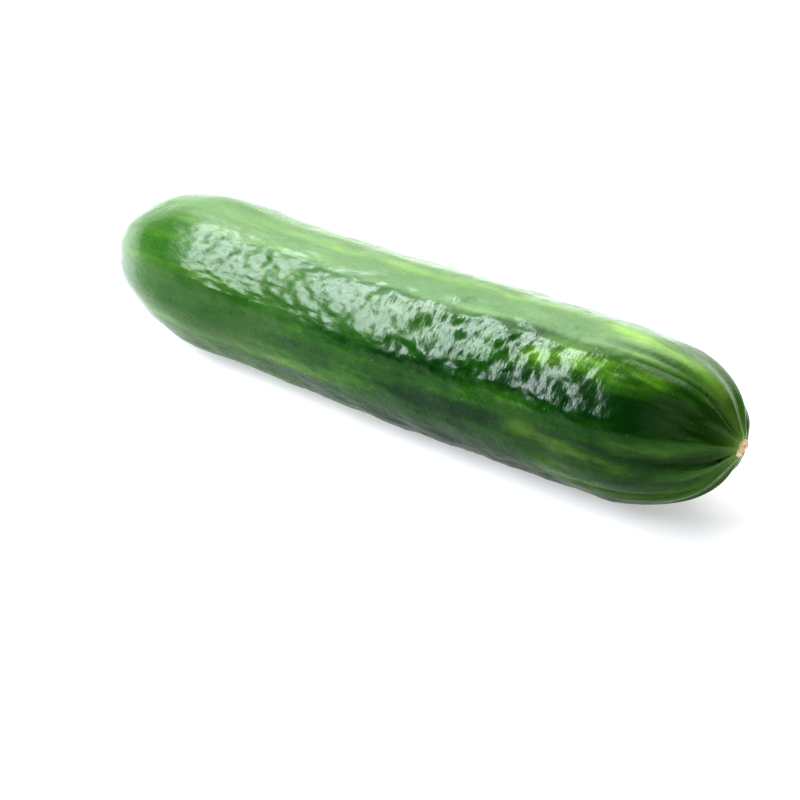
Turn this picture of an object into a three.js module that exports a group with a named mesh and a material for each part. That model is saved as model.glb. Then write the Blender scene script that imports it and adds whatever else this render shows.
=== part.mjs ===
// A whole cucumber lying on its side, one closed solid in millimetres.
// +X runs along the fruit to the stem end, +Z is up, and the fruit rests on z = 0.
// Angles go round the fruit from its front, -Y, over the top: 0 is the front,
// 90 the top, 180 the back and -90 the underside.

import * as THREE from 'three';

// Size of the fruit and of its mesh
const LENGTH = 219.5;
const RING_COUNT = 73;
const POINTS_AROUND = 68;

// The fruit's run: [share of the length from the blossom end, radius, bow to the front]
const RUN = [
  [0.0, 21.6, 0],
  [0.12, 23.6, 3.5],
  [0.3, 23.0, 3.7],
  [0.5, 24.0, 4.9],
  [0.7, 24.7, 3.9],
  [0.88, 24.9, 3.2],
  [1.0, 25.0, 0],
];

// Rounded ends: how far each end's rounding reaches in, and how full it is
const BLOSSOM_END = { reach: 45.3, fullness: 1.85 };
const STEM_END = { reach: 40.2, fullness: 2.6 };

// Furrows between the ribs: [angle round the fruit at the stem end, strength]
const FURROWS = [
  [79, 1.1],
  [40, 0.85],
  [4, 1.2],
  [-31, 0.8],
  [-67, 1.05],
  [-103, 0.75],
  [-139, 1.15],
  [-174, 0.85],
  [151, 1.2],
  [116, 0.8],
];
const FURROW_HALF_WIDTH = 11;
const FURROW_DEPTH = { blossom: 0.3, middle: 0.2, stem: 1.1 };
const RIB_RISE = { blossom: 0.1, middle: 0.1, stem: 0.35 };
const STEM_FURROW_REACH = 42;
const BLOSSOM_FURROW_REACH = 26;
const FURROW_WANDER = 3.5;

// The section is a little three-sided, as the three seed chambers leave it
const THREE_SIDED = { rise: 0.3, turn: 25 };

// Gentle lumps and dents: [height, wavelength along, waves around, phases]
const LUMPS = [
  [0.2, 47, 2, 0.4, 1.9],
  [0.16, 29, 3, 2.1, 0.3],
  [0.12, 19, 5, 4.4, 2.6],
  [0.08, 13, 7, 1.2, 5.1],
];
const LUMP_FADE = 24;

// Stem scar: a low knob of flesh with a broken corky rim round a shallow pit
const KNOB = { radius: 5.2, height: 1.1 };
const STEM_SCAR = { radius: 2.2, width: 1.1, rise: 0.5, pit: 0.8, lobes: 5 };

// Blossom scar: a small dry ring in a shallow pucker
const PUCKER = { radius: 5.5, depth: 0.7 };
const BLOSSOM_SCAR = { radius: 1.9, width: 0.8, rise: 0.35, pit: 0.3, lobes: 3 };

// The flesh gives this much where the fruit lies, which leaves a flat spot
const REST_DEPTH = 0.55;

const radians = THREE.MathUtils.degToRad;

// 0 at 0, 1 at 1 and level at both
function eased(share) {
  return THREE.MathUtils.smoothstep(share, 0, 1);
}

// A hump of height 1 that dies away past its width
function hump(distance, width) {
  return Math.exp(-((distance / width) ** 2));
}

// Radius or bow at a share of the length, smooth through the listed places
function runAt(share, column) {
  let i = 0;
  while (i < RUN.length - 2 && share > RUN[i + 1][0]) {
    i += 1;
  }
  const slope = (k) => {
    const before = RUN[Math.max(k - 1, 0)];
    const after = RUN[Math.min(k + 1, RUN.length - 1)];
    return (after[column] - before[column]) / (after[0] - before[0]);
  };
  const span = RUN[i + 1][0] - RUN[i][0];
  const t = (share - RUN[i][0]) / span;
  const t2 = t * t;
  const t3 = t2 * t;
  return (2 * t3 - 3 * t2 + 1) * RUN[i][column]
    + (t3 - 2 * t2 + t) * span * slope(i)
    + (3 * t2 - 2 * t3) * RUN[i + 1][column]
    + (t3 - t2) * span * slope(i + 1);
}

function radiusAt(share) {
  return runAt(share, 1);
}

function bowAt(share) {
  return runAt(share, 2);
}

// How far an end's rounding has grown to full girth at a distance from its tip
function endRounding(distance, end) {
  const short = THREE.MathUtils.clamp(1 - distance / end.reach, 0, 1);
  return Math.sqrt(1 - short ** end.fullness);
}

// The smooth outline without relief: place along the fruit and radius
function outlineAt(turn) {
  const along = LENGTH * (1 - Math.cos(turn)) / 2;
  const radius = radiusAt(along / LENGTH)
    * endRounding(along, BLOSSOM_END)
    * endRounding(LENGTH - along, STEM_END);
  return { along, radius };
}

// Strength of a value that differs at the blossom end, middle and stem end
function alongFruit(values, fromBlossom, fromStem) {
  const stem = eased(1 - fromStem / STEM_FURROW_REACH);
  const blossom = eased(1 - fromBlossom / BLOSSOM_FURROW_REACH);
  return values.middle
    + (values.stem - values.middle) * stem
    + (values.blossom - values.middle) * blossom;
}

// Ribs and the furrows between them, as a rise above the smooth outline
function ribRelief(angle, along, radius) {
  const fromStem = LENGTH - along;
  const wander = FURROW_WANDER * Math.sin(along / 31) * eased(fromStem / STEM_FURROW_REACH);
  const depth = alongFruit(FURROW_DEPTH, along, fromStem);
  const rise = alongFruit(RIB_RISE, along, fromStem);
  let furrow = 0;
  for (const [place, strength] of FURROWS) {
    const apart = THREE.MathUtils.euclideanModulo(angle - place - wander + 180, 360) - 180;
    furrow += strength * hump(apart, FURROW_HALF_WIDTH);
  }
  const shape = rise - (depth + rise) * furrow;
  // Close to the tip the furrows run out, so that they meet without a spike
  return shape * eased(radius / 9);
}

// Three-sidedness and lumps of the flesh
function fleshRelief(angle, along) {
  const fromEnd = Math.min(along, LENGTH - along);
  let rise = THREE_SIDED.rise * Math.cos(3 * radians(angle - THREE_SIDED.turn));
  for (const [height, wavelength, waves, shiftAlong, shiftRound] of LUMPS) {
    rise += height
      * Math.sin(2 * Math.PI * along / wavelength + shiftAlong)
      * Math.sin(waves * radians(angle) + shiftRound);
  }
  return rise * eased(fromEnd / LUMP_FADE);
}

// A dry scar at a tip: a broken ring with a pit inside it
function scarRelief(angle, radius, scar) {
  const broken = 1 + 0.35 * Math.sin(scar.lobes * radians(angle) + 0.6);
  const ring = scar.rise * broken * hump(radius - scar.radius, scar.width);
  return ring - scar.pit * hump(radius, scar.radius);
}

// What the two tips add to the outline
function tipRelief(angle, along, radius) {
  if (along > LENGTH / 2) {
    const knob = KNOB.height * Math.exp(-((radius / KNOB.radius) ** 4));
    return knob + scarRelief(angle, radius, STEM_SCAR);
  }
  return scarRelief(angle, radius, BLOSSOM_SCAR) - PUCKER.depth * hump(radius, PUCKER.radius);
}

// One point of the skin
function skinPoint(turn, angle) {
  const step = 1e-4;
  const before = outlineAt(turn - step);
  const after = outlineAt(turn + step);
  const { along, radius } = outlineAt(turn);
  const run = new THREE.Vector2(after.along - before.along, after.radius - before.radius).normalize();
  const relief = ribRelief(angle, along, radius) + fleshRelief(angle, along) + tipRelief(angle, along, radius);
  const reach = radius + run.x * relief;
  const share = along / LENGTH;
  return new THREE.Vector3(
    along - run.y * relief,
    -reach * Math.cos(radians(angle)) - bowAt(share),
    reach * Math.sin(radians(angle)) + radiusAt(share),
  );
}

// A tip, where all angles meet
function tipPoint(turn) {
  const atStem = turn > Math.PI / 2;
  const { along, radius } = outlineAt(turn);
  const relief = tipRelief(0, along, radius);
  return new THREE.Vector3(along + (atStem ? relief : -relief), 0, radiusAt(along / LENGTH));
}

function skinPoints() {
  const points = [tipPoint(0)];
  for (let ring = 1; ring <= RING_COUNT; ring += 1) {
    for (let spoke = 0; spoke < POINTS_AROUND; spoke += 1) {
      points.push(skinPoint(Math.PI * ring / (RING_COUNT + 1), 360 * spoke / POINTS_AROUND));
    }
  }
  points.push(tipPoint(Math.PI));
  return points;
}

// Presses the underside flat and puts the middle of the fruit's box over the origin
function settle(points) {
  const box = new THREE.Box3().setFromPoints(points);
  const middle = box.getCenter(new THREE.Vector3());
  const table = box.min.z + REST_DEPTH;
  for (const point of points) {
    point.set(point.x - middle.x, point.y - middle.y, Math.max(point.z - table, 0));
  }
}

// Triangles between neighbouring rings, with a fan at each tip, facing out
function skinFaces() {
  const faces = [];
  const at = (ring, spoke) => 1 + ring * POINTS_AROUND + (spoke % POINTS_AROUND);
  const last = 1 + RING_COUNT * POINTS_AROUND;
  for (let spoke = 0; spoke < POINTS_AROUND; spoke += 1) {
    faces.push(0, at(0, spoke), at(0, spoke + 1));
    faces.push(last, at(RING_COUNT - 1, spoke + 1), at(RING_COUNT - 1, spoke));
    for (let ring = 0; ring < RING_COUNT - 1; ring += 1) {
      const a = at(ring, spoke);
      const b = at(ring, spoke + 1);
      const c = at(ring + 1, spoke + 1);
      const d = at(ring + 1, spoke);
      faces.push(a, d, c, a, c, b);
    }
  }
  return faces;
}

function cucumberGeometry() {
  const points = skinPoints();
  settle(points);
  const geometry = new THREE.BufferGeometry().setFromPoints(points);
  geometry.setIndex(skinFaces());
  geometry.computeVertexNormals();
  return geometry;
}

const skin = new THREE.MeshStandardMaterial({ color: 0x2f7d1c, roughness: 0.35, metalness: 0 });

const cucumber = new THREE.Mesh(cucumberGeometry(), skin);
cucumber.name = 'cucumber';

const part = new THREE.Group();
part.add(cucumber);

export default part;
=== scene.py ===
import math

import bpy
import numpy as np
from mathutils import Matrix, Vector


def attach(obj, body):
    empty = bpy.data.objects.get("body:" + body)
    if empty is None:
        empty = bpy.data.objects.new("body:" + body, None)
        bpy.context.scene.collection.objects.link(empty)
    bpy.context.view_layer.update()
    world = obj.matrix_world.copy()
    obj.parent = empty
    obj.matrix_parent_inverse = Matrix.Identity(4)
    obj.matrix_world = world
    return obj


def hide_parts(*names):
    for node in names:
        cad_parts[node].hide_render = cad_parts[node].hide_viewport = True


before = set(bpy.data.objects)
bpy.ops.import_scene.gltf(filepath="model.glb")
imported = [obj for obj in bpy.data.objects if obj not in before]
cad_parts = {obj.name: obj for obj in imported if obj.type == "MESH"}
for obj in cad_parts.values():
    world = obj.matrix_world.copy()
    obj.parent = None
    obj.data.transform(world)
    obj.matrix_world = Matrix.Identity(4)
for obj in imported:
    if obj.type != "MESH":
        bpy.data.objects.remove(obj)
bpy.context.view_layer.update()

MM = 0.001

# Lengths on the fruit are in mm and angles in degrees. Angles go round it from its front, -Y, over
# the top: 0 is the front, 90 the top and 180 the back. Distances start at the blossom tip.
LENGTH = 219.5

# The fruit's run: (share of the length, radius, bow to the front)
RUN = (
    (0.0, 21.6, 0.0),
    (0.12, 23.6, 3.5),
    (0.3, 23.0, 3.7),
    (0.5, 24.0, 4.9),
    (0.7, 24.7, 3.9),
    (0.88, 24.9, 3.2),
    (1.0, 25.0, 0.0),
)

# Where the run starts as the fruit rests over the origin: its tip, its unbowed line and its underside
RESTS_AT = (-109.85, 3.9, 0.15)

# Furrows between the ribs, in which the skin is painted darker as shade: (angle, strength)
FURROWS = (
    (79, 1.1),
    (40, 0.85),
    (4, 1.2),
    (-31, 0.8),
    (-67, 1.05),
    (-103, 0.75),
    (-139, 1.15),
    (-174, 0.85),
    (151, 1.2),
    (116, 0.8),
)
FURROW_WIDTH = 8
FURROW_WANDER = 3.5
WANDER_STRETCH = 31

# Fine creases that run to the stem scar, also painted darker inside as painted shade: (half width, depth,
# places as (distance, angle))
CREASES = (
    (1.1, 0.22, ((150, 13), (165, 14), (178, 13.5), (190, 12), (198, 7), (206, 2), (213, -5), (218, -12))),
    (0.8, 0.34, ((186, 71), (194, 74), (201, 76), (206, 78), (211, 80), (216, 82))),
    (0.8, 0.26, ((196, 45), (203, 42), (208, 39), (213, 33), (217, 26))),
    (0.8, 0.30, ((176, -31), (192, -33), (205, -38), (213, -45))),
    (1.2, 0.20, ((182, 153), (196, 150), (208, 148), (216, 150))),
    (0.9, 0.30, ((174, -68), (190, -70), (205, -74), (215, -78))),
    (0.8, 0.34, ((180, -138), (196, -140), (209, -139), (216, -134))),
    (0.8, 0.28, ((178, -173), (195, -175), (209, -172), (216, -176))),
)

# Thin raised lines beside them, in the same terms; their crests are also painted paler, a painted
# highlight
RIDGES = (
    (0.8, 0.20, ((182, 76), (190, 77.5), (198, 79), (205, 81.5), (211, 84), (217, 88))),
    (0.8, 0.24, ((190, -42), (204, -46), (212, -52), (217, -62))),
    (0.8, 0.22, ((190, -64), (205, -67), (215, -70))),
    (0.8, 0.22, ((192, 158), (206, 155), (216, 156))),
)
PAINTED_LINE_WIDTH = 0.8

# Lumps of the skin, raised one kind after the other:
# (name, height, grain along X, Y and Z, depth of detail, kind, basis)
LUMPS = (
    ("dents", 0.90, (19, 10, 10), 2, 'SOFT_NOISE', 'IMPROVED_PERLIN'),
    ("swells", 1.50, (12, 7, 7), 1, 'SOFT_NOISE', 'BLENDER_ORIGINAL'),
    ("knobbles", 1.00, (7.5, 6, 6), 2, 'SOFT_NOISE', 'BLENDER_ORIGINAL'),
    ("long_wrinkles", 0.74, (4.2, 1.5, 1.5), 2, 'SOFT_NOISE', 'BLENDER_ORIGINAL'),
    ("cross_wrinkles", 0.62, (2.4, 4, 4), 2, 'HARD_NOISE', 'IMPROVED_PERLIN'),
)
LUMPS_START_AT = (13, 7, 3)

# The sides where the skin is most crinkled, how far round that reaches, and the share elsewhere
ROUGH_SIDES = (45, 168, -82)
ROUGH_REACH = 34
SMOOTH_SIDE_SHARE = 0.28

# Where the blossom half of the skin starts to turn into the stem half, and over what length
HALVES_MEET = (84, 50)

# The skin darkens along these lengths, and starts later high on the front
DEEP_GREEN_RUN = (52, 50)
LATE_DEEP_GREEN = 56
LATE_ABOVE = (14, 32)

# The top of the fruit is painted paler between these angles, over soft edges: a painted sheen and the
# light from above
PAINTED_SHEEN_SIDE = (57, 156)
PAINTED_SHEEN_EDGES = (18, 28)
PAINTED_SHEEN_EDGE_CLIMB = 7

# Pale streaks in the skin: (half width in degrees, strength, places as (distance, angle))
STREAKS = (
    (7.0, 0.42, ((12, 94), (31, 90), (46, 86), (58, 88), (70, 91), (82, 90), (100, 94), (120, 92),
                 (140, 96), (156, 99), (178, 104), (192, 99), (203, 95), (212, 95), (219, 90))),
    (5.0, 0.28, ((14, 66), (47, 64), (60, 67), (72, 69), (84, 73), (100, 76))),
    (6.0, 0.28, ((8, 20), (16, 23), (33, 27), (41, 29), (55, 30), (80, 27))),
    (5.0, 0.24, ((10, 48), (25, 47), (34, 48), (52, 50))),
    (4.0, 0.45, ((26, 112), (40, 109), (55, 104), (73, 107), (92, 109), (108, 108), (124, 103))),
    (9.0, 0.92, ((168, 96), (185, 95), (196, 96), (206, 95), (214, 94))),
    (14.0, 0.62, ((152, 50), (168, 56), (182, 60), (196, 63), (204, 64))),
    (12.0, 0.58, ((172, 57), (184, 60), (196, 62), (205, 62))),
    (11.0, 0.44, ((150, 4), (168, 1), (186, -4), (204, -12))),
    (8.0, 0.50, ((186, 10), (200, 9), (207, 7), (213, 3), (218, -2))),
    (10.0, 0.46, ((160, -28), (184, -31), (200, -36), (214, -44))),
    (6.0, 0.70, ((8, 132), (40, 130), (80, 134), (120, 131), (150, 135))),
    (5.5, 0.60, ((8, 165), (44, 163), (90, 166), (128, 162))),
    (6.5, 0.60, ((8, -160), (50, -163), (96, -159), (140, -162), (170, -160))),
    (5.0, 0.55, ((8, -128), (42, -126), (84, -130), (110, -127))),
    (6.0, 0.60, ((8, -94), (52, -92), (100, -96), (146, -93))),
    (5.5, 0.50, ((8, -58), (40, -56), (78, -60), (118, -57))),
    (6.0, 0.50, ((8, -16), (46, -19), (86, -15), (112, -18))),
)

# Darker runs of the skin, in the same terms: partly the skin's own darker runs, partly painted shade on
# the front near the stem
SHADES = (
    (10.0, 0.9, ((148, 30), (170, 33), (190, 33), (206, 29))),
    (5.0, 0.8, ((158, -9), (182, -12), (202, -18), (214, -27))),
    (5.0, 0.4, ((176, 81), (190, 84), (202, 85), (212, 84))),
    (7.0, 0.7, ((158, 146), (184, 149), (212, 150))),
    (5.0, 0.4, ((196, 52), (204, 49), (211, 44), (217, 36))),
    (6.0, 0.7, ((150, -62), (180, -66), (212, -72))),
    (7.0, 0.7, ((146, -120), (182, -124), (212, -128))),
)

# The radius at which angles are laid out for the patterns that follow the skin
PATTERN_RADIUS = 24


# Working as by hand

def take(piece):
    """Makes one piece the only one selected, and the active one."""
    if bpy.context.mode != 'OBJECT':
        bpy.ops.object.mode_set(mode='OBJECT')
    bpy.ops.object.select_all(action='DESELECT')
    piece.select_set(True)
    bpy.context.view_layer.objects.active = piece


def places(piece):
    """The piece's vertices, one row each."""
    flat = np.empty(len(piece.data.vertices) * 3, np.float32)
    piece.data.vertices.foreach_get("co", flat)
    return flat.reshape(-1, 3).astype(float)


def clear_selection(piece, kind):
    """Leaves nothing of the piece selected, ready to pick vertices, edges or faces."""
    take(piece)
    bpy.ops.object.mode_set(mode='EDIT')
    bpy.ops.mesh.select_mode(type=kind)
    bpy.ops.mesh.select_all(action='DESELECT')
    bpy.ops.object.mode_set(mode='OBJECT')


def pick_vertices(piece, wanted):
    clear_selection(piece, 'VERT')
    piece.data.vertices.foreach_set("select", wanted)
    bpy.ops.object.mode_set(mode='EDIT')


def pick_edges(piece, wanted):
    """Selects the edges whose two ends pass the test."""
    clear_selection(piece, 'EDGE')
    ends = np.empty(len(piece.data.edges) * 2, np.int32)
    piece.data.edges.foreach_get("vertices", ends)
    at = places(piece)
    ends = ends.reshape(-1, 2)
    piece.data.edges.foreach_set("select", wanted(at[ends[:, 0]], at[ends[:, 1]]))
    bpy.ops.object.mode_set(mode='EDIT')


def pick_faces(piece, wanted):
    """Selects the faces whose middle passes the test."""
    clear_selection(piece, 'FACE')
    for face in piece.data.polygons:
        face.select = wanted(face.center)
    bpy.ops.object.mode_set(mode='EDIT')


def leave_edit():
    bpy.ops.mesh.select_mode(type='VERT')
    bpy.ops.object.mode_set(mode='OBJECT')


def apply_modifiers(piece):
    take(piece)
    for modifier in list(piece.modifiers):
        bpy.ops.object.modifier_apply(modifier=modifier.name)


def subdivide_smoothly(piece, levels):
    smooth = piece.modifiers.new("smooth", 'SUBSURF')
    smooth.levels = levels
    smooth.render_levels = levels
    apply_modifiers(piece)


def shade_smooth(piece):
    take(piece)
    bpy.ops.object.shade_smooth()


# Shares from 0 to 1

def eased(share):
    share = np.clip(share, 0, 1)
    return share * share * (3 - 2 * share)


def rising(value, start, span):
    """0 up to the start and 1 from one span after it, with an eased rise between them."""
    return eased((value - start) / span)


def at_least(least, share):
    return least + (1 - least) * share


def hump(distance, width):
    return np.exp(-((distance / width) ** 2))


# Where a point lies on the fruit

def run_at(share, column):
    """Radius or bow at a share of the length, smooth through the listed places."""
    at = np.array([row[0] for row in RUN])
    value = np.array([row[column] for row in RUN])
    before = np.maximum(np.arange(len(RUN)) - 1, 0)
    after = np.minimum(np.arange(len(RUN)) + 1, len(RUN) - 1)
    slope = (value[after] - value[before]) / (at[after] - at[before])
    i = np.clip(np.searchsorted(at, share, side='left') - 1, 0, len(RUN) - 2)
    span = at[i + 1] - at[i]
    t = (share - at[i]) / span
    return (
        (2 * t**3 - 3 * t**2 + 1) * value[i]
        + (t**3 - 2 * t**2 + t) * span * slope[i]
        + (3 * t**2 - 2 * t**3) * value[i + 1]
        + (t**3 - t**2) * span * slope[i + 1]
    )


def on_fruit(at):
    """Each point's distance from the blossom tip, its angle, and its distance from the core line."""
    along = at[:, 0] / MM - RESTS_AT[0]
    share = np.clip(along / LENGTH, 0, 1)
    forward = RESTS_AT[1] - at[:, 1] / MM - run_at(share, 2)
    up = at[:, 2] / MM - RESTS_AT[2] - run_at(share, 1)
    return along, np.degrees(np.arctan2(up, forward)), np.hypot(up, forward)


def apart(angle, other):
    """How far round one angle is from the other, from -180 to 180."""
    return (angle - other + 180) % 360 - 180


def stem_half(along):
    """0 on the blossom half and 1 on the stem half."""
    return rising(along, *HALVES_MEET)


def clear_of_table(at):
    """0 where the fruit lies on the table and 1 a little above it, so that its flat spot stays flat."""
    flat_spot, fade_in = 0.2, 3
    return rising(at[:, 2] / MM, flat_spot, fade_in)


def line_weight(fruit_places, line, half_width, in_degrees=False):
    """How strongly a line of (distance, angle) places shows at each point, fading out at its ends."""
    thinnest, overrun, short_fade, reaches_tip = 2.5, 2.5, 4, 210
    along, angle, radius = fruit_places
    distance = np.array([place[0] for place in line], float)
    turn = np.array([place[1] for place in line], float)
    off = apart(angle, np.interp(along, distance, turn))
    if not in_degrees:
        off = np.radians(off) * np.maximum(radius, thinnest)
    run_out = 0.25 * (distance[-1] - distance[0])
    fade_out = run_out if in_degrees and distance[-1] < reaches_tip else short_fade
    ends = rising(along, distance[0], run_out) * eased((distance[-1] + overrun - along) / fade_out)
    return hump(off, half_width) * ends


def strongest(fruit_places, lines, in_degrees=False):
    """The strongest of a table's lines at each point."""
    shown = np.zeros(len(fruit_places[0]))
    for half_width, strength, line in lines:
        shown = np.maximum(shown, strength * line_weight(fruit_places, line, half_width, in_degrees))
    return shown


def painted_line_light(fruit_places, lines):
    """Where the thin lines' paint shows, all of them equally wide and strong: painted highlight on the
    ridges and painted shade in the creases.
    """
    return np.clip(sum(line_weight(fruit_places, line, PAINTED_LINE_WIDTH) for _, _, line in lines), 0, 1)


# The skin

def smooth_guide(node):
    """A smooth copy of the resting solid, which the skin is wrapped on; it is deleted afterwards."""
    guide = node.copy()
    guide.data = node.data.copy()
    guide.parent = None
    guide.name = "form_guide"
    bpy.context.scene.collection.objects.link(guide)
    pick_vertices(guide, np.ones(len(guide.data.vertices), bool))
    bpy.ops.mesh.remove_doubles(threshold=0.01 * MM)
    bpy.ops.mesh.tris_convert_to_quads(face_threshold=math.pi, shape_threshold=math.pi)
    leave_edit()
    subdivide_smoothly(guide, 2)
    return guide


def long_ball(name):
    """A ball pulled apart at its middle into a long round-ended body of even squares."""
    radius, reach, waist = 26 * MM, 84 * MM, 0.2 * MM
    laid_at = (0, -0.6 * MM, 24.6 * MM)
    bpy.ops.object.select_all(action='DESELECT')
    bpy.ops.mesh.primitive_uv_sphere_add(
        segments=256, ring_count=112, radius=radius, rotation=(0, math.pi / 2, 0))
    body = bpy.context.object
    body.name = name
    take(body)
    bpy.ops.object.transform_apply(location=True, rotation=True, scale=True)
    for side in (-1, 1):
        pick_vertices(body, places(body)[:, 0] * side > waist)
        bpy.ops.transform.translate(value=(side * reach, 0, 0))
        leave_edit()
    pick_edges(body, lambda a, b: np.abs(a[:, 0] - b[:, 0]) > reach / 2)
    bpy.ops.mesh.subdivide(number_cuts=190)
    leave_edit()
    pick_vertices(body, np.ones(len(body.data.vertices), bool))
    bpy.ops.transform.translate(value=laid_at)
    leave_edit()
    return body


def weigh(piece, name, weights):
    """Keeps the weights in a vertex group of that name, without those too small to see."""
    unseen = 0.002
    group = piece.vertex_groups.new(name=name)
    for i in np.nonzero(weights > unseen)[0].tolist():
        group.add((i,), float(weights[i]), 'REPLACE')
    return name


def raise_by_weight(piece, name, weights, height):
    """Raises or sinks the skin where the weights are, by up to a height."""
    lift = piece.modifiers.new(name, 'DISPLACE')
    lift.vertex_group = weigh(piece, name, weights)
    lift.strength = height * MM
    lift.mid_level = 0
    apply_modifiers(piece)


def roughen(piece, weights, name, height, grain, depth, kind, basis):
    """Raises lumps of a cloudy pattern, whose grain is given along X, Y and Z."""
    pattern = bpy.data.textures.new(name, 'CLOUDS')
    pattern.noise_scale = 1.0
    pattern.noise_depth = depth
    pattern.noise_basis = basis
    pattern.noise_type = kind
    bpy.ops.object.select_all(action='DESELECT')
    bpy.ops.object.empty_add(location=[value * MM for value in LUMPS_START_AT])
    gauge = bpy.context.object
    gauge.scale = [size * MM for size in grain]
    bpy.context.view_layer.update()
    lumps = piece.modifiers.new(name, 'DISPLACE')
    lumps.texture = pattern
    lumps.texture_coords = 'OBJECT'
    lumps.texture_coords_object = gauge
    lumps.vertex_group = weigh(piece, name, weights)
    lumps.strength = height * MM
    lumps.mid_level = 0.5
    apply_modifiers(piece)
    bpy.data.objects.remove(gauge)
    bpy.data.textures.remove(pattern)


def lump_weights(at):
    """How strongly each kind of lump shows at each point. The tips stay smooth."""
    along, angle, _ = on_fruit(at)
    clear, stem = clear_of_table(at), stem_half(along)
    body = rising(along, 0, 30) * eased((LENGTH - along) / 34) * clear
    middle = rising(along, 20, 40) * eased((206 - along) / 34) * clear
    rough_sides = sum(hump(apart(angle, side), ROUGH_REACH) for side in ROUGH_SIDES)
    crinkled = middle * at_least(SMOOTH_SIDE_SHARE, np.clip(rough_sides, 0, 1))
    return {
        "dents": body,
        "swells": crinkled * at_least(0.35, stem),
        "knobbles": crinkled * at_least(0.50, stem),
        "long_wrinkles": crinkled * (1 - stem),
        "cross_wrinkles": crinkled * stem,
    }


def fruit_skin(node):
    guide = smooth_guide(node)
    skin = long_ball("fruit_skin")
    wrap = skin.modifiers.new("wrap", 'SHRINKWRAP')
    wrap.target = guide
    wrap.wrap_method = 'NEAREST_SURFACEPOINT'
    apply_modifiers(skin)
    bpy.data.objects.remove(guide)

    at = places(skin)
    fruit_places, clear, weights = on_fruit(at), clear_of_table(at), lump_weights(at)
    for lumps in LUMPS:
        roughen(skin, weights[lumps[0]], *lumps)
    raise_by_weight(skin, "creases", strongest(fruit_places, CREASES) * clear, -1)
    raise_by_weight(skin, "ridges", strongest(fruit_places, RIDGES) * clear, 1)
    shade_smooth(skin)
    return skin


# What the skin's material reads

def furrow_shade_mark(along, angle):
    wander = FURROW_WANDER * np.sin(along / WANDER_STRETCH) * eased((LENGTH - along) / 42)
    return sum(strength * hump(apart(angle, place + wander), FURROW_WIDTH) for place, strength in FURROWS)


def deep_green_mark(along, angle):
    start, span = DEEP_GREEN_RUN
    late = LATE_DEEP_GREEN * rising(angle, *LATE_ABOVE) * (angle < 90)
    return rising(along - late, start, span)


def painted_sheen_mark(along, angle):
    """The painted sheen on the top, which is weaker at both tips and starts a little higher on the stem
    half.
    """
    front_edge = PAINTED_SHEEN_SIDE[0] + PAINTED_SHEEN_EDGE_CLIMB * rising(along, 120, 40)
    across = rising(angle, front_edge, PAINTED_SHEEN_EDGES[0]) * eased((PAINTED_SHEEN_SIDE[1] - angle) / PAINTED_SHEEN_EDGES[1])
    return across * at_least(0.25, rising(along, 0, 70)) * (1 - 0.5 * rising(along, 178, 24))


def write_marks(skin):
    """Writes where each point of the skin grew, and how strongly each mark shows there."""
    fruit_places = on_fruit(places(skin))
    along, angle, radius = fruit_places
    turn = np.radians(angle)
    grown = np.stack([along, PATTERN_RADIUS * np.cos(turn), PATTERN_RADIUS * np.sin(turn)], 1) * MM
    skin.data.attributes.new("grown", 'FLOAT_VECTOR', 'POINT')
    skin.data.attributes["grown"].data.foreach_set("vector", grown.ravel())
    marks = {
        "furrow_shade": furrow_shade_mark(along, angle),
        "shade": strongest(fruit_places, SHADES, True),
        "ridge_highlight": painted_line_light(fruit_places, RIDGES),
        "crease_shade": painted_line_light(fruit_places, CREASES),
        "streak": strongest(fruit_places, STREAKS, True),
        "deep_end": deep_green_mark(along, angle),
        "near_stem": stem_half(along),
        "near_tip": rising(along, 196, 20),
        "painted_sheen": painted_sheen_mark(along, angle),
        "stem_tip": hump(radius, 4.6) * (along > LENGTH / 2),
        "blossom_tip": hump(radius, 4) * (along < LENGTH / 2),
    }
    for name, values in marks.items():
        skin.data.attributes.new(name, 'FLOAT', 'POINT')
        skin.data.attributes[name].data.foreach_set("value", values)


# Materials

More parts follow.
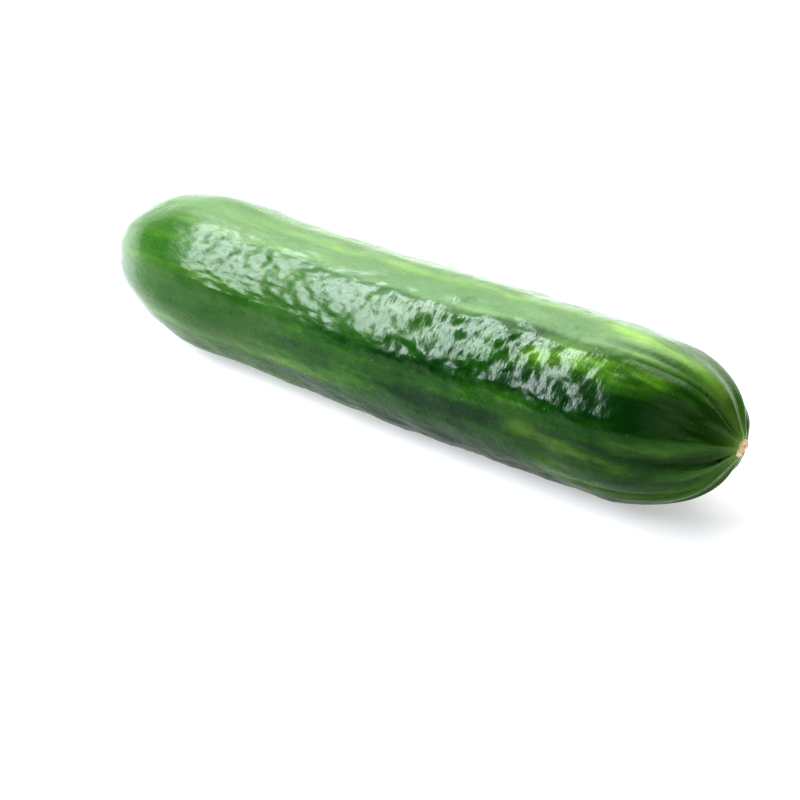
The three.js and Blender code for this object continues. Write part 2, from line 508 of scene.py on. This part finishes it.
class Finish:
    """Builds one material, node by node. Sizes of patterns are in mm."""

    def __init__(self, name):
        self.material = bpy.data.materials.new(name)
        self.material.use_nodes = True
        self.nodes = self.material.node_tree.nodes
        self.links = self.material.node_tree.links
        self.shader = self.nodes["Principled BSDF"]

    def add(self, kind, **settings):
        node = self.nodes.new(kind)
        for key, value in settings.items():
            setattr(node, key, value)
        return node

    def set_or_link(self, socket, value):
        if isinstance(value, bpy.types.NodeSocket):
            self.links.new(value, socket)
        else:
            socket.default_value = value

    def set(self, name, value):
        """Sets one of the shader's own inputs, by a value or by what another node gives."""
        self.set_or_link(self.shader.inputs[name], value)

    def mark(self, name):
        return self.add("ShaderNodeAttribute", attribute_name=name).outputs["Fac"]

    def grown(self):
        return self.add("ShaderNodeAttribute", attribute_name="grown").outputs["Vector"]

    def here(self):
        return self.add("ShaderNodeTexCoord").outputs["Object"]

    def noise(self, place, grain, detail=3.0, roughness=0.5):
        """Cloudy noise, whose grain is one size or one for each axis."""
        sizes = grain if isinstance(grain, tuple) else (grain,) * 3
        spread = self.add("ShaderNodeMapping")
        spread.inputs["Scale"].default_value = [1 / (size * MM) for size in sizes]
        self.links.new(place, spread.inputs["Vector"])
        node = self.add("ShaderNodeTexNoise")
        node.inputs["Scale"].default_value = 1.0
        node.inputs["Detail"].default_value = detail
        node.inputs["Roughness"].default_value = roughness
        self.links.new(spread.outputs["Vector"], node.inputs["Vector"])
        return node.outputs["Fac"]

    def dots(self, place, spacing, radius):
        """1 in the middle of scattered dots and 0 outside them."""
        node = self.add("ShaderNodeTexVoronoi")
        node.inputs["Scale"].default_value = 1 / (spacing * MM)
        self.links.new(place, node.inputs["Vector"])
        return self.fade(node.outputs["Distance"], radius / spacing, 0.0)

    def fade(self, value, low, high, to_low=0.0, to_high=1.0):
        """Maps low to high smoothly onto to_low to to_high."""
        node = self.add("ShaderNodeMapRange", interpolation_type='SMOOTHSTEP')
        self.set_or_link(node.inputs["Value"], value)
        node.inputs["From Min"].default_value = low
        node.inputs["From Max"].default_value = high
        node.inputs["To Min"].default_value = to_low
        node.inputs["To Max"].default_value = to_high
        return node.outputs["Result"]

    def reckon(self, operation, a, b):
        node = self.add("ShaderNodeMath", operation=operation)
        self.set_or_link(node.inputs[0], a)
        self.set_or_link(node.inputs[1], b)
        return node.outputs["Value"]

    def times(self, a, b):
        return self.reckon('MULTIPLY', a, b)

    def plus(self, a, b):
        return self.reckon('ADD', a, b)

    def sway(self, noise, amount):
        """Turns noise into a rise and fall about 0."""
        return self.times(self.plus(noise, -0.5), amount)

    def blend(self, share, under, over):
        """Puts one colour over another, each of them fixed or from a node."""
        under, over = (c if isinstance(c, bpy.types.NodeSocket) else (*c, 1) for c in (under, over))
        node = self.add("ShaderNodeMix", data_type='RGBA')
        self.set_or_link(node.inputs["Factor"], share)
        self.set_or_link(node.inputs[6], under)
        self.set_or_link(node.inputs[7], over)
        return node.outputs[2]

    def bump(self, height, distance, strength, before=None):
        node = self.add("ShaderNodeBump")
        node.inputs["Distance"].default_value = distance * MM
        node.inputs["Strength"].default_value = strength
        self.links.new(height, node.inputs["Height"])
        if before is not None:
            self.links.new(before, node.inputs["Normal"])
        return node.outputs["Normal"]


DEEP_GREEN = (0.001, 0.024, 0.001)
DARK_LEAF_GREEN = (0.010, 0.056, 0.002)
LIT_GREEN = (0.048, 0.125, 0.005)
LEAF_GREEN = (0.026, 0.070, 0.012)
FRESH_GREEN = (0.058, 0.122, 0.024)
# The next four greens paint the sheen and the light from above on the top of the fruit
PAINTED_SHEEN_GREEN = (0.068, 0.132, 0.048)
PAINTED_SHEEN_LIGHT_GREEN = (0.104, 0.178, 0.070)
PAINTED_SHEEN_FAR_GREEN = (0.056, 0.100, 0.040)
TIP_GREEN = (0.050, 0.138, 0.012)
PAINTED_SHEEN_TIP_GREEN = (0.080, 0.190, 0.024)
STREAK_GREEN = (0.185, 0.300, 0.070)
FRESH_STREAK_GREEN = (0.115, 0.235, 0.022)
SPECK_GREEN = (0.30, 0.46, 0.18)
STEM_GREEN = (0.26, 0.42, 0.09)
BLOSSOM_GREEN = (0.17, 0.24, 0.06)

PALE_CORK = (0.86, 0.72, 0.50)
TAN_CORK = (0.50, 0.36, 0.19)
DRY_BROWN = (0.32, 0.23, 0.13)
DARK_BROWN = (0.12, 0.08, 0.04)

# Grains of the skin's patterns, one size or one for each axis
BAND_GRAIN = (70, 7.5, 7.5)
PATCH_GRAIN = (22, 9, 9)
MOTTLE_GRAIN = 2.4
FINE_GRAIN = 0.55
BREAK_GRAIN = (14, 3.6, 3.6)
SPECK_CLUSTER_GRAIN = 5.0
LONG_RIPPLE_GRAIN = (3.0, 1.0, 1.0)
CROSS_RIPPLE_GRAIN = (1.1, 2.4, 2.4)

# Scattered dots of the skin: (spacing, radius)
SPECKS = (3.1, 0.30)
PITS = (1.9, 0.42)

SKIN_ROUGHNESS = 0.285
SKIN_SPECULAR = 0.20

FIBRE_GRAIN = 0.7
FLAKE_GRAIN = 0.25
CORK_ROUGHNESS = 0.70
CORK_SPECULAR = 0.25


def skin_tone(f, grown, patches, mottle, grain):
    """Light and dark of the skin: long bands and patches, painted shade in the furrows and a fine mottle.
    """
    bands = f.noise(grown, BAND_GRAIN, 4.0, 0.55)
    tone = f.plus(f.times(bands, 0.62), f.times(patches, 0.38))
    # Painted shade: darker in the furrows
    tone = f.plus(tone, f.times(f.mark("furrow_shade"), -0.05))
    return f.plus(tone, f.plus(f.sway(mottle, 0.16), f.sway(grain, 0.10)))


def leafy_green(f, tone):
    """The lighter green of the blossom half."""
    green = f.blend(f.fade(tone, 0.34, 0.52), DARK_LEAF_GREEN, LEAF_GREEN)
    return f.blend(f.fade(tone, 0.50, 0.72), green, FRESH_GREEN)


def deep_green(f, tone, patches):
    """The dark green of the stem half, which lightens at the tip."""
    green = f.blend(f.fade(tone, 0.40, 0.56), DEEP_GREEN, DARK_LEAF_GREEN)
    green = f.blend(f.fade(tone, 0.54, 0.70), green, LIT_GREEN)
    return f.blend(f.times(f.mark("near_tip"), f.fade(patches, 0.36, 0.62, 0.3, 0.9)), green, TIP_GREEN)


def painted_sheen_green(f, tone):
    """The washed-out green painted on the top, as sheen and light from above."""
    green = f.blend(f.fade(tone, 0.38, 0.62), PAINTED_SHEEN_GREEN, PAINTED_SHEEN_LIGHT_GREEN)
    green = f.blend(f.fade(f.mark("near_stem"), 0.0, 1.0, 0.55, 0.0), green, PAINTED_SHEEN_FAR_GREEN)
    return f.blend(f.times(f.mark("near_tip"), 0.7), green, PAINTED_SHEEN_TIP_GREEN)


def streaked(f, green, grown, patches):
    """Lays the darker runs, partly painted shade, the broken pale streaks, the painted highlight on the
    ridges and the painted shade in the creases on the green.
    """
    broken = f.fade(f.noise(grown, BREAK_GRAIN, 5.0, 0.62), 0.30, 0.66)
    streak = f.times(f.mark("streak"), f.plus(f.times(broken, 0.60), 0.40))
    # Streaks are painted lighter on the top, as part of the painted sheen
    streak_green = f.blend(f.mark("painted_sheen"), FRESH_STREAK_GREEN, STREAK_GREEN)
    # Darker runs, partly the skin's own and partly painted shade
    shade = f.times(f.mark("shade"), f.fade(patches, 0.62, 0.36, 0.45, 1.0))
    green = f.blend(shade, green, DEEP_GREEN)
    green = f.blend(f.fade(streak, 0.0, 1.0), green, streak_green)
    # Painted highlight along the ridge crests
    green = f.blend(f.times(f.mark("ridge_highlight"), 0.34), green, STREAK_GREEN)
    # Painted shade in the creases
    return f.blend(f.times(f.mark("crease_shade"), 0.35), green, DEEP_GREEN)


def speckled(f, green, here):
    """Adds the small pale specks and the lighter green round both scars."""
    clusters = f.fade(f.noise(here, SPECK_CLUSTER_GRAIN), 0.42, 0.6)
    specks = f.times(f.dots(here, *SPECKS), clusters)
    green = f.blend(f.times(specks, 0.45), green, SPECK_GREEN)
    green = f.blend(f.times(f.mark("stem_tip"), 0.75), green, STEM_GREEN)
    return f.blend(f.times(f.mark("blossom_tip"), 0.7), green, BLOSSOM_GREEN)


def skin_surface(f, here, grain):
    """Ripples along the blossom half and across the stem half, then pits and a fine grain."""
    long_ripples = f.noise(here, LONG_RIPPLE_GRAIN, 3.0, 0.6)
    cross_ripples = f.noise(here, CROSS_RIPPLE_GRAIN, 3.0, 0.55)
    normal = f.bump(f.blend(f.mark("near_stem"), long_ripples, cross_ripples), 0.20, 0.55)
    normal = f.bump(f.times(f.dots(here, *PITS), -1.0), 0.05, 0.5, normal)
    return f.bump(grain, 0.02, 0.3, normal)


def skin_finish():
    f = Finish("cucumber_skin")
    grown, here = f.grown(), f.here()
    patches = f.noise(grown, PATCH_GRAIN, 4.0, 0.6)
    mottle = f.noise(here, MOTTLE_GRAIN, 4.0, 0.6)
    grain = f.noise(here, FINE_GRAIN, 2.0)

    tone = skin_tone(f, grown, patches, mottle, grain)
    deep_share = f.fade(f.plus(f.mark("deep_end"), f.sway(patches, 0.7)), 0.1, 0.9)
    # Where the top is painted paler, as sheen and light from above
    painted_sheen_share = f.fade(f.plus(f.mark("painted_sheen"), f.sway(patches, 0.6)), 0.25, 0.75)
    green = f.blend(deep_share, leafy_green(f, tone), deep_green(f, tone, patches))
    green = f.blend(painted_sheen_share, green, painted_sheen_green(f, tone))
    f.set("Base Color", speckled(f, streaked(f, green, grown, patches), here))

    smoother_stem = f.times(f.mark("near_stem"), -0.04)
    uneven = f.plus(f.sway(grain, 0.12), f.sway(patches, 0.10))
    f.set("Roughness", f.plus(f.plus(smoother_stem, SKIN_ROUGHNESS), uneven))
    f.set("Specular IOR Level", SKIN_SPECULAR)
    f.set("Normal", skin_surface(f, here, grain))
    return f.material


def cork_finish(name, pale, dark):
    """Dry cork of broken fibres and flakes."""
    f = Finish(name)
    here = f.here()
    fibres = f.noise(here, FIBRE_GRAIN, 5.0, 0.65)
    flakes = f.noise(here, FLAKE_GRAIN, 3.0)
    fibrous = f.blend(f.fade(fibres, 0.35, 0.65), dark, pale)
    f.set("Base Color", f.blend(f.times(flakes, 0.35), fibrous, pale))
    f.set("Roughness", f.plus(CORK_ROUGHNESS, f.times(flakes, 0.2)))
    f.set("Specular IOR Level", CORK_SPECULAR)
    f.set("Normal", f.bump(f.plus(fibres, f.times(flakes, 0.4)), 0.18, 0.8))
    return f.material


# The scars

SCAR_THICKNESS = 1.4
SCAR_RINGS = (0.06, 0.16, 0.2, 0.2, 0.2)
SCAR_RIM = (0.66, 0.24)
SCAR_EDGE = (0.70, 0.3)
SCAR_EDGE_DROP = 0.55
CRUMBLE = ("crumble", 0.30, (0.9, 0.9, 0.9), 3, 'SOFT_NOISE', 'IMPROVED_PERLIN')

# Pits of the scars: (place along Y, place along Z, half width, depth)
STEM_SCAR_PITS = (
    (0.3, 0.5, 0.42, 0.5),
    (-1.1, -0.4, 0.32, 0.42),
    (0.9, -1.0, 0.30, 0.40),
    (-0.4, 1.5, 0.28, 0.36),
    (1.6, 0.8, 0.26, 0.30),
    (-0.3, -1.7, 0.26, 0.32),
)
BLOSSOM_SCAR_PITS = (
    (0.1, 0.1, 0.55, 0.4),
    (-0.8, 0.6, 0.25, 0.25),
    (0.7, -0.7, 0.22, 0.22),
)


def ringed_disc(name, middle, radius):
    """A thick disc across X, with rings cut into both faces."""
    bpy.ops.object.select_all(action='DESELECT')
    bpy.ops.mesh.primitive_cylinder_add(
        vertices=36, radius=radius * MM, depth=SCAR_THICKNESS * MM,
        location=[value * MM for value in middle], rotation=(0, math.pi / 2, 0), end_fill_type='NGON')
    disc = bpy.context.object
    disc.name = name
    take(disc)
    bpy.ops.object.transform_apply(location=True, rotation=True, scale=True)
    for end in (-1, 1):
        pick_faces(disc, lambda c: (c.x - middle[0] * MM) * end > 0.5 * MM)
        for ring in SCAR_RINGS:
            bpy.ops.mesh.inset(thickness=radius * ring * MM)
        bpy.ops.mesh.poke()
        leave_edit()
    subdivide_smoothly(disc, 2)
    return disc


def scar(name, middle, radius, rim, lobes, pits):
    """A dry pitted patch at a tip, where something broke off, facing away from the fruit along X."""
    side = 1 if middle[0] > 0 else -1
    patch = ringed_disc(name, middle, radius)

    at = places(patch) / MM - np.array(middle)
    off = np.hypot(at[:, 1], at[:, 2]) / radius
    turn = np.arctan2(at[:, 2], at[:, 1])
    outer = eased(at[:, 0] * side / 0.5)
    uneven = 1 + 0.16 * np.sin(lobes * turn + 0.7) + 0.10 * np.sin((2 * lobes - 1) * turn + 2.1)
    raised = rim * hump(off - SCAR_RIM[0], SCAR_RIM[1]) * uneven
    at[:, 0] += side * outer * (raised - SCAR_EDGE_DROP * rising(off, *SCAR_EDGE))
    at[:, 1:] *= uneven[:, None]
    for y, z, half_width, depth in pits:
        at[:, 0] -= side * outer * depth * hump(np.hypot(at[:, 1] - y, at[:, 2] - z), half_width)
    patch.data.vertices.foreach_set("co", ((at + np.array(middle)) * MM).ravel().astype(np.float32))
    patch.data.update()
    roughen(patch, outer, *CRUMBLE)
    shade_smooth(patch)
    return patch


def stem_scar():
    return scar("stem_scar", (109.35, 3.9, 25.1), 2.5, 0.30, 2, STEM_SCAR_PITS)


def blossom_scar():
    return scar("blossom_scar", (-109.1, 3.9, 21.75), 2.0, 0.25, 3, BLOSSOM_SCAR_PITS)


# Floor, light and camera, in metres and degrees

WHITE = (1, 1, 1)
COOL_WHITE = (0.88, 0.92, 1.0)

FLOOR_SIZE = 8
FLOOR_WHITE = (0.48, 0.483, 0.49)
FLOOR_GLOW = 0.36
FLOOR_ROUGHNESS = 0.6

ROOM_LIGHT = 0.19

# Soft studio lights: (name, place, aim, size, watts, colour)
LIGHTS = (
    ("softbox", (-0.383, -0.224, 0.53), (-0.383, 0, 0.03), (0.19, 0.86), 16.3, COOL_WHITE),
    ("top_panel", (-0.40, 0.48, 0.84), (0, 0, 0.03), (1.5, 0.55), 9.5, WHITE),
    ("back_panel", (-0.50, 0.97, 0.36), (0, 0, 0.05), (2.4, 0.75), 7, WHITE),
    ("front_fill", (0.9, -0.6, 0.8), (0, 0, 0), (1.0, 1.0), 3.0, WHITE),
)

CAMERA_AZIMUTH = 36.5
CAMERA_ELEVATION = 30
CAMERA_DISTANCE = 1.1
CAMERA_TARGET = (-0.0074, 0.0038, 0)
CAMERA_LENS = 168
CAMERA_SENSOR = 36


def stage():
    bpy.ops.object.select_all(action='DESELECT')
    bpy.ops.mesh.primitive_plane_add(size=FLOOR_SIZE, location=(0, 0, 0))
    floor = bpy.context.object
    floor.name = "floor"
    f = Finish("white_floor")
    f.set("Base Color", (*FLOOR_WHITE, 1))
    f.set("Emission Color", (*WHITE, 1))
    f.set("Emission Strength", FLOOR_GLOW)
    f.set("Roughness", FLOOR_ROUGHNESS)
    floor.data.materials.append(f.material)


def area_light(name, place, aim, size, watts, colour):
    light = bpy.data.lights.new(name, 'AREA')
    light.color = colour
    light.shape = 'RECTANGLE'
    light.size, light.size_y = size
    light.energy = watts
    lamp = bpy.data.objects.new(name, light)
    bpy.context.scene.collection.objects.link(lamp)
    lamp.location = place
    lamp.rotation_euler = (Vector(aim) - Vector(place)).to_track_quat('-Z', 'Y').to_euler()


def lights():
    world = bpy.data.worlds.new("studio")
    bpy.context.scene.world = world
    world.use_nodes = True
    background = world.node_tree.nodes["Background"]
    background.inputs["Color"].default_value = (*WHITE, 1)
    background.inputs["Strength"].default_value = ROOM_LIGHT
    for light in LIGHTS:
        area_light(*light)


def camera():
    azimuth, elevation = math.radians(CAMERA_AZIMUTH), math.radians(CAMERA_ELEVATION)
    back = Vector((
        math.sin(azimuth) * math.cos(elevation),
        -math.cos(azimuth) * math.cos(elevation),
        math.sin(elevation),
    ))
    data = bpy.data.cameras.new("camera")
    data.sensor_width = CAMERA_SENSOR
    data.lens = CAMERA_LENS
    eye = bpy.data.objects.new("camera", data)
    bpy.context.scene.collection.objects.link(eye)
    eye.location = Vector(CAMERA_TARGET) + back * CAMERA_DISTANCE
    eye.rotation_euler = back.to_track_quat('Z', 'Y').to_euler()
    bpy.context.scene.camera = eye


def dress(piece, finish):
    piece.data.materials.append(finish)
    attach(piece, "root")


view = bpy.context.scene.view_settings
view.view_transform = 'Standard'
view.look = 'High Contrast'
camera()
stage()
lights()

skin = fruit_skin(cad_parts["cucumber"])
write_marks(skin)
dress(skin, skin_finish())
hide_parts("cucumber")
dress(stem_scar(), cork_finish("stem_cork", PALE_CORK, TAN_CORK))
dress(blossom_scar(), cork_finish("blossom_cork", DRY_BROWN, DARK_BROWN))
